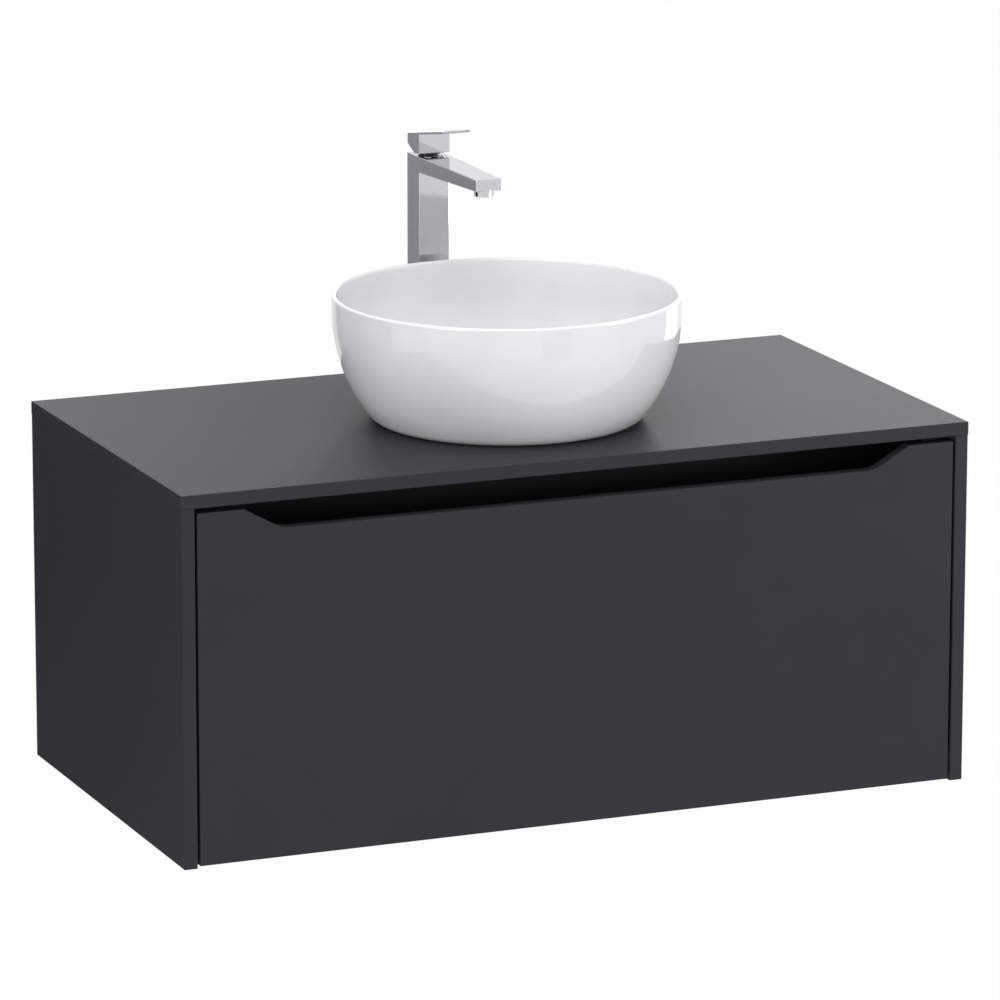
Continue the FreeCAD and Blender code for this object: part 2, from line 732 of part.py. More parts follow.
def make_drawer():
    """Front, box, brackets and gallery."""
    save("drawer_front", drawer_front())
    side = drawer_side()
    save("drawer_side_right", side)
    save("drawer_side_left", mirrored(side))
    back = box(-SIDE_IN, SIDE_IN, DRAWER_END - BOARD, DRAWER_END, FLOOR_TOP, SIDE_TOP)
    rear = [s for one in back_screws() for s in both(one)]
    save("drawer_back", cut_all(back, rear))
    reach = SIDE_IN + GROOVE_DEPTH
    save("drawer_bottom", box(-reach, reach, Y_FRONT_BACK, DRAWER_END, FLOOR_LOW, FLOOR_TOP))
    screws = bracket_screws()
    brackets = [cut_all(one, screws) for one in front_brackets()]
    save("drawer_brackets", *[s for one in brackets for s in both(one)])
    save("gallery_rails", *both(gallery_rail()))
    save("gallery_holders", *[s for one in gallery_holders() for s in both(one)])
    small = screws + inner_slide_screws()
    save("drawer_screws", *[s for one in small for s in both(one)], *rear)


# ---- Basin ----

def arc_edge(centre, radius, start, end):
    """Arc in the XZ plane through BASIN_Y, from one angle to another in degrees."""
    points = []
    for degrees in (start, (start + end) / 2, end):
        turn = math.radians(degrees)
        points.append(V(centre[0] + radius * math.cos(turn), BASIN_Y, centre[1] + radius * math.sin(turn)))
    return Part.Arc(*points).toShape()


def line(start, end):
    """Straight edge."""
    return Part.LineSegment(start, end).toShape()


def basin():
    """Round bowl of one wall thickness, on a foot ring, with a boss around the waste hole."""
    wall_x = BASIN_R - WALL_ARC
    wall_centre = (wall_x, Z_TOP + BELLY_H)
    foot_reach = WALL_ARC - FOOT_ARC
    foot_x = wall_x + math.sqrt(foot_reach ** 2 - (BELLY_H - FOOT_ARC) ** 2)
    foot_centre = (foot_x, Z_TOP + FOOT_ARC)
    foot_turn = math.degrees(math.atan2(FOOT_ARC - BELLY_H, foot_x - wall_x))

    inner_reach = WALL_ARC - WALL - INNER_FOOT_ARC
    inner_z = FLOOR_EDGE + INNER_FOOT_ARC
    inner_x = wall_x + math.sqrt(inner_reach ** 2 - (BELLY_H - inner_z) ** 2)
    inner_centre = (inner_x, Z_TOP + inner_z)
    inner_turn = math.degrees(math.atan2(inner_z - BELLY_H, inner_x - wall_x))

    rim = WALL / 2
    rim_centre = (BASIN_R - rim, Z_TOP + BASIN_H - rim)
    inside = BASIN_R - WALL
    belly_z = Z_TOP + BELLY_H
    edges = [
        arc_edge(foot_centre, FOOT_ARC, -90, foot_turn),
        arc_edge(wall_centre, WALL_ARC, foot_turn, 0),
        line(V(BASIN_R, BASIN_Y, belly_z), V(BASIN_R, BASIN_Y, rim_centre[1])),
        arc_edge(rim_centre, rim, 0, 180),
        line(V(inside, BASIN_Y, rim_centre[1]), V(inside, BASIN_Y, belly_z)),
        arc_edge(wall_centre, WALL_ARC - WALL, 0, inner_turn),
        arc_edge(inner_centre, INNER_FOOT_ARC, inner_turn, -90),
    ]
    underside = [
        (inner_x, FLOOR_EDGE),
        (RECESS_R, FLOOR_DRAIN),
        (RECESS_R, FLOOR_DRAIN - RECESS_DEPTH),
        (DRAIN_R, FLOOR_DRAIN - RECESS_DEPTH),
        (DRAIN_R, GASKET_T),
        (BOSS_R, GASKET_T),
        (BOSS_R, UNDER_RELIEF),
        (foot_x - FOOT_RING, UNDER_RELIEF),
        (foot_x - FOOT_RING, 0),
        (foot_x, 0),
    ]
    points = [V(r, BASIN_Y, Z_TOP + h) for r, h in underside]
    edges += [line(a, b) for a, b in zip(points, points[1:])]
    profile = Part.Face(Part.Wire(edges))
    return profile.revolve(V(0, BASIN_Y, 0), Z, 360)


# ---- Waste and trap ----

HUB_R = 7.0
HUB_H = 6.0
HUB_DROP = 12.0
ARM_T = 3.0
NUT_R = 34.0
NUT_H = 8.0
NUT_LOBES = 8
LOWER_SEAL_R = 32.0
LOWER_SEAL_T = 4.0
FLANGE_SOFT = 1.0
GASKET_LAP = 2.0          # basin's gasket inside the edge of its boss
CAP_SIDE = 0.55           # plug cap's upright rim, as a share of its thickness
CAP_DOME = 0.45           # start of its flatter middle, as a share of its radius
CAP_SOFT = 1.5
CAP_CROWN = 20.0
PLUG_SEAL_T = 4.0
PLUG_SEAL_W = 3.0
NECK_PAST = 1.0           # plug stem's neck below its seal
STEM_PAST = 6.0           # stem below the hub when the plug is lifted


def at_waste(height):
    """Point on the basin's axis at a height above the countertop."""
    return V(0, BASIN_Y, Z_TOP + height)


def make_waste():
    """Waste body, its seals and nut, and the sprung plug that rises to drain."""
    recess = FLOOR_DRAIN - RECESS_DEPTH
    flange_low = recess + SEAL_T
    body = rod(FLANGE_R, at_waste(flange_low), at_waste(flange_low + FLANGE_T))
    body = rounded(body, FLANGE_SOFT, lambda e: on_plane(e, Z, Z_TOP + flange_low + FLANGE_T))
    body = body.fuse(rod(TAIL_R, at_waste(-TAIL_DROP), at_waste(flange_low + FLANGE_T / 2)))
    top = flange_low + FLANGE_T
    body = body.cut(rod(TAIL_BORE, at_waste(-TAIL_DROP - PAST), at_waste(top + PAST)))
    hub_low = -HUB_DROP - HUB_H
    hub = rod(HUB_R, at_waste(hub_low), at_waste(-HUB_DROP))
    for turn in (0, 120, 240):
        arm = box(0, TAIL_BORE + PAST, BASIN_Y - ARM_T / 2, BASIN_Y + ARM_T / 2,
                  Z_TOP + hub_low, Z_TOP - HUB_DROP)
        arm.rotate(at_waste(0), Z, turn)
        hub = hub.fuse(arm)
    hub = hub.cut(rod(STEM_R + RUNNING, at_waste(hub_low - PAST), at_waste(-HUB_DROP + PAST)))
    save("waste_body", body.fuse(hub).removeSplitter())

    thread = TAIL_R + THREAD_FIT
    nut_top = -BOARD - LOWER_SEAL_T
    upper = tube(FLANGE_R - LOOSE, thread, at_waste(recess), at_waste(flange_low))
    lower = tube(LOWER_SEAL_R, thread, at_waste(nut_top), at_waste(-BOARD))
    save("waste_seals", upper, lower)
    nut = lobed(NUT_R, NUT_LOBES, at_waste(nut_top - NUT_H), at_waste(nut_top))
    save("waste_nut", nut.cut(rod(thread, at_waste(nut_top - NUT_H), at_waste(nut_top))))
    gasket_in = DRAIN_R + GASKET_LAP / 2
    save("basin_gasket", tube(BOSS_R - GASKET_LAP, gasket_in, at_waste(0), at_waste(GASKET_T)))

    cap_low = top + LOOSE
    seal_r = TAIL_BORE - LOOSE
    cap = turned([
        (0, cap_low, 0),
        (PLUG_R, cap_low, 0),
        (PLUG_R, cap_low + PLUG_T * CAP_SIDE, CAP_SOFT),
        (PLUG_R * CAP_DOME, cap_low + PLUG_T, CAP_CROWN),
        (0, cap_low + PLUG_T, 0),
    ], BASIN_Y, Z_TOP)
    save("plug_cap", cap)
    seal_low = cap_low - PLUG_SEAL_T
    neck_r = seal_r - PLUG_SEAL_W
    neck = rod(neck_r, at_waste(seal_low - NECK_PAST), at_waste(cap_low))
    stem = rod(STEM_R, at_waste(hub_low - PLUG_LIFT - STEM_PAST), at_waste(seal_low))
    save("plug_stem", neck.fuse(stem).removeSplitter())
    save("plug_seal", tube(seal_r, neck_r, at_waste(seal_low), at_waste(cap_low)))


def quarter_bend(radius):
    """Round quarter turn from straight down to level, towards the wall."""
    disc = Part.Face(Part.Wire(Part.makeCircle(radius, V(0, BASIN_Y, PIPE_Z + BEND_R), Z)))
    return disc.revolve(V(0, BASIN_Y + BEND_R, PIPE_Z + BEND_R), X, 90)


def bent_pipe(radius, end_y):
    """Drop, quarter bend and level run as one solid bar."""
    drop = rod(radius, at_waste(-TAIL_DROP), V(0, BASIN_Y, PIPE_Z + BEND_R))
    level = rod(radius, V(0, BASIN_Y + BEND_R, PIPE_Z), V(0, end_y, PIPE_Z))
    return drop.fuse(quarter_bend(radius)).fuse(level)


SLEEVE_R = PIPE_R + 3.5
SLEEVE_LENGTH = 14.0
UNION_R = PIPE_R + 7.0
UNION_LENGTH = 18.0
UNION_LAP = 9.0
INLET_NUT_UP = 12.0
INLET_NUT_DOWN = 12.0
INLET_NUT_WALL = 5.0
COLLAR_T = 2.0
TRAP_WALL = 3.0
HEAD_SOFT = 4.0
CUP_WALL = 5.0
CUP_FLOOR = 3.0
CUP_SOFT = 6.0
CUP_LAP = 8.0
DIP_R = 12.0
DIP_WALL = 2.0
DIP_LIFT = 20.0           # dip tube's mouth above the cup's foot
WEB_T = 2.0
TRAP_LOBES = 10
ROSETTE_T = 8.0
ROSETTE_RIM = 4.0         # rosette's front edge around the pipe
MARK_W = 1.5              # insertion mark around the outlet pipe at the wall plane
MARK_DEPTH = 0.4


def union_nut(y_mouth, side):
    """Nut that clamps a level pipe in the sleeve whose mouth is at y_mouth."""
    a = V(0, y_mouth + side * UNION_LAP, PIPE_Z)
    b = V(0, y_mouth - side * UNION_LAP, PIPE_Z)
    mouth = V(0, y_mouth, PIPE_Z)
    nut = lobed(UNION_R, TRAP_LOBES, a, b)
    nut = nut.cut(rod(SLEEVE_R + THREAD_FIT, a + (a - mouth), mouth))
    return nut.cut(rod(PIPE_R + PIPE_FIT, mouth, b + (b - mouth)))


def make_trap():
    """Space-saving trap: bent inlet pipe, bottle and outlet into the wall."""
    inner = PIPE_R - PIPE_WALL
    mouth_in = TRAP_Y - TRAP_R - SLEEVE_LENGTH
    mouth_out = TRAP_Y + TRAP_R + SLEEVE_LENGTH
    pipe_end = mouth_in + SLEEVE_LENGTH / 2
    inlet = bent_pipe(PIPE_R, pipe_end)
    collar = rod(TAIL_R, at_waste(-TAIL_DROP - COLLAR_T), at_waste(-TAIL_DROP))
    inlet = inlet.fuse(collar).removeSplitter()
    save("trap_inlet_pipe", inlet.cut(bent_pipe(inner, pipe_end)))

    low = -TAIL_DROP - INLET_NUT_DOWN
    nut = lobed(TAIL_R + INLET_NUT_WALL, TRAP_LOBES, at_waste(low), at_waste(-TAIL_DROP + INLET_NUT_UP))
    nut = nut.cut(rod(TAIL_R + THREAD_FIT, at_waste(-TAIL_DROP - COLLAR_T), at_waste(0)))
    nut = nut.cut(rod(PIPE_R + PIPE_FIT, at_waste(low - PAST), at_waste(0)))
    save("trap_inlet_nut", nut)

    head_top = PIPE_Z + TRAP_HEAD_H / 2
    head_low = PIPE_Z - TRAP_HEAD_H / 2
    axis_top, axis_low = V(0, TRAP_Y, head_top), V(0, TRAP_Y, head_low)
    outlet_start = mouth_out - SLEEVE_LENGTH / 2
    head = rounded(rod(TRAP_R, axis_low, axis_top), HEAD_SOFT, lambda e: on_plane(e, Z, head_top))
    head = head.fuse(rod(SLEEVE_R, V(0, mouth_in, PIPE_Z), V(0, mouth_out, PIPE_Z)))
    head = head.cut(rod(TRAP_R - TRAP_WALL, axis_low - Z * PAST, axis_top - Z * TRAP_WALL))
    head = head.cut(rod(PIPE_R, V(0, mouth_in - PAST, PIPE_Z), V(0, pipe_end, PIPE_Z)))
    head = head.cut(rod(PIPE_R, V(0, mouth_out + PAST, PIPE_Z), V(0, outlet_start, PIPE_Z)))
    head = head.cut(rod(inner, V(0, mouth_in, PIPE_Z), V(0, mouth_out, PIPE_Z)))
    # The web parts inlet from outlet; the shelf leads the inlet's water down the dip tube.
    dip_low = Z_TOP - CUP_DROP + DIP_LIFT
    dip = tube(DIP_R + DIP_WALL, DIP_R, V(0, TRAP_Y, dip_low), V(0, TRAP_Y, PIPE_Z))
    reach = TRAP_R - TRAP_WALL / 2
    half = WEB_T / 2
    web = box(-reach, reach, TRAP_Y - half, TRAP_Y + half, PIPE_Z, head_top - TRAP_WALL / 2)
    shelf = tube(reach, DIP_R + half, V(0, TRAP_Y, PIPE_Z - WEB_T), V(0, TRAP_Y, PIPE_Z))
    front = box(-TRAP_R, TRAP_R, TRAP_Y - TRAP_R, TRAP_Y, PIPE_Z - WEB_T, PIPE_Z)
    save("trap_head", head.fuse(dip).fuse(web).fuse(shelf.common(front)).removeSplitter())

    cup_top = head_low + CUP_LAP
    cup_low = Z_TOP - CUP_DROP
    cup = rod(CUP_R, V(0, TRAP_Y, cup_low), V(0, TRAP_Y, cup_top))
    cup = rounded(cup, CUP_SOFT, lambda e: on_plane(e, Z, cup_low))
    cup = cup.cut(rod(TRAP_R + THREAD_FIT, V(0, TRAP_Y, head_low), V(0, TRAP_Y, cup_top + PAST)))
    hollow = rod(CUP_R - CUP_WALL, V(0, TRAP_Y, cup_low + CUP_FLOOR), V(0, TRAP_Y, cup_top))
    save("trap_cup", cup.cut(hollow))

    save("trap_unions", union_nut(mouth_in, 1), union_nut(mouth_out, -1))
    outlet = tube(PIPE_R, inner, V(0, outlet_start, PIPE_Z), V(0, OUTLET_STUB, PIPE_Z))
    mark = tube(PIPE_R + PAST, PIPE_R - MARK_DEPTH, V(0, 0, PIPE_Z), V(0, MARK_W, PIPE_Z))
    save("trap_outlet_pipe", outlet.cut(mark))
    rosette = Part.makeCone(ROSETTE_R, PIPE_R + ROSETTE_RIM, ROSETTE_T, V(0, 0, PIPE_Z), -Y)
    hole = rod(PIPE_R + PIPE_FIT, V(0, PAST, PIPE_Z), V(0, -ROSETTE_T - PAST, PIPE_Z))
    save("trap_rosette", rosette.cut(hole))


# ---- Tap ----

STUD_Y = TAP_Y + 9.0
INLET_Y = TAP_Y - 5.0
SEAT_FLOOR = BODY_TOP - CARTRIDGE_H
RING_H = 8.0
RING_R = 15.0
NECK_R = 9.5              # cartridge's neck inside its ring
NECK_SINK = 1.0           # neck and ring below the body's top
CLAMP_R = 24.0
CLAMP_T = 3.0
RUBBER_T = 4.0
HEX_R = 7.5               # over the corners of the stud's nut
HEX_H = 7.0
HOUSING_WALL = 1.6
HOUSING_DEPTH = 8.0       # aerator's thread inside the spout
SOFT_EDGE = 1.2
STUD_GRIP = 20.0          # stud's length inside the tap's body
STUD_DROP = 25.0          # stud below the countertop
GASKET_SET = 1.0          # tap's gasket inside the edge of its foot
HOUSING_SOFT = 0.6
INSERT_T = 6.0
CELL_PITCH = 3.0
CELL_HALF = 1.0
CELL_WALL = 0.6
WAIST_DEPTH = 2.0         # waterway around the cartridge
WAIST_LAND = 1.5          # full-size band above it
CLAMP_NOSE = 2.0          # clamp plate's mouth ends this far past the tap's axis
MOUTH_SET = 1.0           # mouth's sides inside the tap hole


def tap_outline(top_z):
    """Side view of the column and spout as one outline of (y, z) corners."""
    back = TAP_Y + TAP_D / 2
    front = TAP_Y - TAP_D / 2
    tip = TAP_Y - SPOUT_REACH
    foot = Z_TOP + TAP_GASKET
    return [
        (back, foot, 0),
        (back, top_z, 0),
        (tip, top_z + SPOUT_RISE, 0),
        (tip, top_z + SPOUT_RISE - SPOUT_TIP_T, 0),
        (front, top_z - SPOUT_ROOT_T, 0),
        (front, foot, 0),
    ]


def spout_plan():
    """Top view: the square column, then a spout that narrows to its tip."""
    back = TAP_Y + TAP_D / 2
    front = TAP_Y - TAP_D / 2
    tip = TAP_Y - SPOUT_REACH
    return [
        (TAP_W / 2, back, 0),
        (TAP_W / 2, front, 0),
        (SPOUT_TIP_W / 2, tip, 0),
        (-SPOUT_TIP_W / 2, tip, 0),
        (-TAP_W / 2, front, 0),
        (-TAP_W / 2, back, 0),
    ]


def aerator_point(height):
    """Point on the aerator's axis at a height above the spout's tip underside."""
    under = BODY_TOP + SPOUT_RISE - SPOUT_TIP_T
    return V(0, TAP_Y - SPOUT_REACH + AERATOR_INSET, under + height)


def tap_body():
    """Column and spout in one piece, with the cartridge seat, waterways and inlets."""
    side = slab_x(tap_outline(BODY_TOP), -TAP_W / 2, TAP_W / 2)
    plan = slab_z(spout_plan(), Z_TOP, BODY_TOP + SPOUT_RISE + PAST)
    body = side.common(plan).removeSplitter()
    foot = Z_TOP + TAP_GASKET
    body = body.makeFillet(SOFT_EDGE, [e for e in body.Edges if outer_edge(e, foot)])

    axis = V(0, TAP_Y, 0)
    thread = AERATOR_R - HOUSING_WALL + THREAD_FIT
    tools = [
        rod(CARTRIDGE_R + PIPE_FIT, axis + Z * SEAT_FLOOR, axis + Z * (BODY_TOP + PAST)),
        rod(RING_R + THREAD_FIT, axis + Z * (BODY_TOP - RING_H), axis + Z * (BODY_TOP + PAST)),
        rod(AERATOR_R + PIPE_FIT, aerator_point(-AERATOR_DROP), aerator_point(-LOOSE)),
        rod(thread, aerator_point(-AERATOR_DROP), aerator_point(HOUSING_DEPTH)),
        rod(STUD_R + THREAD_FIT, V(0, STUD_Y, foot - PAST), V(0, STUD_Y, foot + STUD_GRIP)),
    ]
    channel_z = aerator_point(HOUSING_DEPTH).z - WATERWAY_R + PAST
    start = aerator_point(0)
    tools.append(rod(WATERWAY_R, V(0, start.y, channel_z), V(0, TAP_Y, channel_z)))
    for x in (-INLET_X, INLET_X):
        tools.append(rod(INLET_R, V(x, INLET_Y, foot - PAST), V(x, INLET_Y, foot + INLET_DEPTH)))
        tools.append(rod(WATERWAY_R, V(x, INLET_Y, foot), V(x, INLET_Y, SEAT_FLOOR + PAST)))
    return cut_all(body, tools)


def outer_edge(edge, foot):
    """Edges of the tap that are softened: all but the foot, the inner corner and the plan's break."""
    front = TAP_Y - TAP_D / 2
    if on_plane(edge, Z, foot):
        return False
    return not (on_plane(edge, Y, front) and edge.CenterOfMass.z > BODY_TOP - SPOUT_ROOT_T - SOFT_EDGE)


def make_tap():
    """Body, gasket, clamp set, aerator, cartridge and its ring."""
    save("tap_body", tap_body())
    foot = Z_TOP + TAP_GASKET
    half_w = TAP_W / 2 - GASKET_SET
    half_d = TAP_D / 2 - GASKET_SET
    gasket = box(-half_w, half_w, TAP_Y - half_d, TAP_Y + half_d, Z_TOP, foot)
    opening = rod(TAP_HOLE_R - GASKET_SET, V(0, TAP_Y, Z_TOP - PAST), V(0, TAP_Y, foot + PAST))
    save("tap_gasket", gasket.cut(opening))

    wall = AERATOR_R - HOUSING_WALL
    mouth = aerator_point(-AERATOR_DROP)
    housing = rod(AERATOR_R, mouth, aerator_point(-LOOSE))
    housing = rounded(housing, HOUSING_SOFT, lambda e: on_plane(e, Z, mouth.z))
    housing = housing.fuse(rod(wall, mouth + Z * HOUSING_WALL, aerator_point(HOUSING_DEPTH - LOOSE)))
    bore = wall - HOUSING_WALL
    housing = housing.cut(rod(bore, mouth - Z * PAST, aerator_point(HOUSING_DEPTH)))
    save("aerator_housing", housing)
    insert_low = mouth + Z * LOOSE
    insert = rod(bore, insert_low, insert_low + Z * INSERT_T)
    save("aerator_insert", cut_all(insert, aerator_cells(bore, insert_low.z)))

    axis = V(0, TAP_Y, 0)
    ring_low = BODY_TOP - RING_H
    cartridge = rod(CARTRIDGE_R, axis + Z * SEAT_FLOOR, axis + Z * ring_low)
    waist_low = aerator_point(HOUSING_DEPTH).z - 2 * WATERWAY_R
    waist_start, waist_end = axis + Z * (waist_low - PAST), axis + Z * (ring_low - WAIST_LAND)
    waist = tube(CARTRIDGE_R + PAST, CARTRIDGE_R - WAIST_DEPTH, waist_start, waist_end)
    neck = rod(NECK_R, axis + Z * (ring_low - WAIST_LAND), axis + Z * (BODY_TOP - NECK_SINK))
    save("cartridge", cartridge.cut(waist).fuse(neck).removeSplitter())
    ring_top = axis + Z * (BODY_TOP - NECK_SINK)
    save("cartridge_ring", tube(RING_R, NECK_R + THREAD_FIT, axis + Z * ring_low, ring_top))

    save("tap_stud", rod(STUD_R, V(0, STUD_Y, Z_UNDER - STUD_DROP), V(0, STUD_Y, foot + STUD_GRIP)))
    rubber_low = Z_UNDER - RUBBER_T
    nut_top = rubber_low - CLAMP_T
    save("tap_clamp_rubber", clamp_shoe(rubber_low, Z_UNDER))
    save("tap_clamp_plate", clamp_shoe(nut_top, rubber_low))
    hexagon = []
    for i in range(6):
        turn = math.radians(60 * i)
        hexagon.append((HEX_R * math.cos(turn), STUD_Y + HEX_R * math.sin(turn), 0))
    nut = slab_z(hexagon, nut_top - HEX_H, nut_top)
    hole = rod(STUD_R + THREAD_FIT, V(0, STUD_Y, nut_top - HEX_H), V(0, STUD_Y, nut_top))
    save("tap_clamp_nut", nut.cut(hole))


def clamp_shoe(low, high):
    """Horseshoe under the countertop: open to the front for the hoses, bored for the stud."""
    shoe = rod(CLAMP_R, V(0, TAP_Y, low), V(0, TAP_Y, high))
    reach = TAP_HOLE_R - MOUTH_SET
    y0, y1 = TAP_Y - CLAMP_R - PAST, TAP_Y + CLAMP_NOSE
    mouth = box(-reach, reach, y0, y1, low - PAST, high + PAST)
    hole = rod(STUD_R + THREAD_FIT, V(0, STUD_Y, low - PAST), V(0, STUD_Y, high + PAST))
    return shoe.cut(mouth).cut(hole)


def aerator_cells(radius, low):
    """Square jets of the aerator's insert, cut right through it."""
    cells = []
    y0 = aerator_point(0).y
    steps = int(radius / CELL_PITCH)
    for i in range(-steps, steps + 1):
        for j in range(-steps, steps + 1):
            x, y = i * CELL_PITCH, j * CELL_PITCH
            if math.hypot(abs(x) + CELL_HALF, abs(y) + CELL_HALF) < radius - CELL_WALL:
                cells.append(box(x - CELL_HALF, x + CELL_HALF, y0 + y - CELL_HALF, y0 + y + CELL_HALF,
                                 low - PAST, low + INSERT_T + PAST))
    return cells


# ---- Handle ----

PIVOT_Z = BODY_TOP + PIVOT_RISE
EAR_IN = 6.0              # inner faces of the yoke's ears
EAR_T = 3.0
EAR_R = 5.0
YOKE_R = 13.0
YOKE_T = 3.0
HUB_PIN_R = 6.5           # yoke's boss over the cartridge's neck
SPINDLE_HALF = 5.4
SPINDLE_R = 4.6
POST_HALF_X = 5.0
POST_HALF_Y = 4.0
POST_H = 11.0
POCKET_GAP = 4.5          # handle's pocket around the ears, so that it can tilt
POCKET_SIDE = 1.5
GRUB_R = 1.5
GRUB_RISE = 9.0
HANDLE_BACK = TAP_Y + 18.5
HANDLE_FRONT = TAP_Y - 20.0
CHAMFER_START = 4.0       # chamfer's front end before the tap's axis
CHAMFER_SLOPE = 22.5
CHAMFER_DIP = 2.0         # chamfer's front end below the block's front edge
FLARE = 2.0               # room around the yoke's disc
FLARE_H = 3.0             # and above it
GRUB_SINK = 2.0           # grub screw below the back face


def yoke():
    """Turning part: a disc on the cartridge with two ears and the lift axle."""
    axis = V(0, TAP_Y, 0)
    low = BODY_TOP + MOVING_GAP
    top = BODY_TOP + YOKE_T
    disc = rod(YOKE_R, axis + Z * low, axis + Z * top)
    disc = disc.fuse(rod(HUB_PIN_R, axis + Z * (low - NECK_SINK), axis + Z * top))
    ears = []
    for side in (-1, 1):
        near, far = sorted((side * EAR_IN, side * (EAR_IN + EAR_T)))
        ear = box(near, far, TAP_Y - EAR_R, TAP_Y + EAR_R, low, PIVOT_Z)
        ears.append(ear.fuse(rod(EAR_R, V(near, TAP_Y, PIVOT_Z), V(far, TAP_Y, PIVOT_Z))))
    reach = EAR_IN + EAR_T
    axle = rod(AXLE_R, V(-reach, TAP_Y, PIVOT_Z), V(reach, TAP_Y, PIVOT_Z))
    return disc.fuse(ears[0]).fuse(ears[1]).fuse(axle).removeSplitter()


def spindle():
    """Lifting part: a block between the ears, bored for the axle, that carries the handle."""
    left, right = V(-SPINDLE_HALF, TAP_Y, PIVOT_Z), V(SPINDLE_HALF, TAP_Y, PIVOT_Z)
    body = rod(SPINDLE_R, left, right).fuse(spindle_post()).removeSplitter()
    return body.cut(rod(AXLE_R + RUNNING, left - X, right + X))


def lever_top(y):
    """Height of the lever's upper face at y."""
    rise = (HANDLE_BACK - y) * math.tan(math.radians(LEVER_SLOPE))
    return BODY_TOP + LEVER_BACK_RISE + rise


def handle():
    """Square block with a flat lever growing out of its top, hollow around the yoke."""
    tip = TAP_Y - LEVER_REACH
    lean = math.radians(LEVER_SLOPE)
    drop = LEVER_T / math.cos(lean)
    chamfer_y = TAP_Y - CHAMFER_START
    chamfer_z = BODY_TOP + HANDLE_GAP - CHAMFER_DIP
    back_z = chamfer_z + (HANDLE_BACK - chamfer_y) * math.tan(math.radians(CHAMFER_SLOPE))
    outline = [
        (HANDLE_BACK, back_z, 0),
        (HANDLE_BACK, lever_top(HANDLE_BACK), 0),
        (tip, lever_top(tip), 0),
        (tip + LEVER_T * math.sin(lean), lever_top(tip) - LEVER_T * math.cos(lean), 0),
        (HANDLE_FRONT, lever_top(HANDLE_FRONT) - drop, 0),
        (HANDLE_FRONT, BODY_TOP + HANDLE_GAP, 0),
        (chamfer_y, chamfer_z, 0),
    ]
    side = slab_x(outline, -TAP_W / 2, TAP_W / 2)
    plan = slab_z([
        (TAP_W / 2, HANDLE_BACK + PAST, 0),
        (TAP_W / 2, HANDLE_FRONT, 0),
        (LEVER_TIP_W / 2, tip - PAST, 0),
        (-LEVER_TIP_W / 2, tip - PAST, 0),
        (-TAP_W / 2, HANDLE_FRONT, 0),
        (-TAP_W / 2, HANDLE_BACK + PAST, 0),
    ], BODY_TOP, lever_top(tip) + PAST)
    body = side.common(plan).removeSplitter()
    body = body.makeFillet(SOFT_EDGE, [e for e in body.Edges if handle_edge(e)])
    reach = EAR_IN + EAR_T + POCKET_SIDE
    deep = EAR_R + POCKET_GAP
    pocket = rod(deep, V(-reach, TAP_Y, PIVOT_Z), V(reach, TAP_Y, PIVOT_Z))
    mouth = box(-reach, reach, TAP_Y - deep, TAP_Y + deep, BODY_TOP, PIVOT_Z)
    flare = rod(YOKE_R + FLARE, V(0, TAP_Y, BODY_TOP), V(0, TAP_Y, BODY_TOP + YOKE_T + FLARE_H))
    return cut_all(body, [pocket, mouth, flare, spindle_post(), handle_screw_blank()])


def handle_edge(edge):
    """Edges of the handle that are softened: all but the inner corner and the plan's break."""
    if on_plane(edge, Y, HANDLE_FRONT):
        return edge.CenterOfMass.z < BODY_TOP + HANDLE_GAP + SOFT_EDGE
    return True


def spindle_post():
    """The post alone, as it sits in the handle."""
    y0, y1 = TAP_Y - POST_HALF_Y, TAP_Y + POST_HALF_Y
    return box(-POST_HALF_X, POST_HALF_X, y0, y1, PIVOT_Z, PIVOT_Z + POST_H)


def handle_screw_blank():
    """Grub screw from the back of the handle to the spindle's post."""
    z = PIVOT_Z + GRUB_RISE
    return rod(GRUB_R, V(0, TAP_Y + POST_HALF_Y, z), V(0, HANDLE_BACK - GRUB_SINK, z))


def make_handle():
    """Yoke that turns, and the spindle, handle and grub screw that lift."""
    save("handle_yoke", yoke())
    save("handle_spindle", spindle())
    save("handle", handle())
    save("handle_screw", handle_screw_blank())


make_carcass()
make_slides()
make_drawer()
save("basin", basin())
make_waste()
make_trap()
make_tap()
make_handle()
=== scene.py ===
import math

import bmesh
import bpy
from mathutils import Matrix, Vector


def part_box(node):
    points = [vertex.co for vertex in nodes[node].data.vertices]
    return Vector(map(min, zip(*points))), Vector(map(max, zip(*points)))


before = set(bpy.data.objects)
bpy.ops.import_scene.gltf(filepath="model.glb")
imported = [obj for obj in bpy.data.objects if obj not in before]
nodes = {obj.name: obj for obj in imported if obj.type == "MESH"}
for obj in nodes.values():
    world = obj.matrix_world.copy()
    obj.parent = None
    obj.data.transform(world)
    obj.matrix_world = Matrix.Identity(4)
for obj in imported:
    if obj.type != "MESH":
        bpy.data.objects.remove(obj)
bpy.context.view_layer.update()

# The camera stands in front and to the left of the washstand, well above the countertop. A long lens
# looks down at it from far enough away that the boards hardly converge.

CAMERA_STAND = Vector((-2.98641, -6.90276, 1.77713))    # from the middle of the countertop's front edge
CAMERA_TURNS = (76.34263, -0.07220, -22.62840)          # degrees about X, Y and Z
LENS = 238.58                                           # mm
SENSOR = 36                                             # mm
SIGHT_LIMIT = 60                                        # metres, past the floor's far edge

top_low, top_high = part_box("countertop")
edge_middle = Vector((0, top_low[1], top_high[2]))

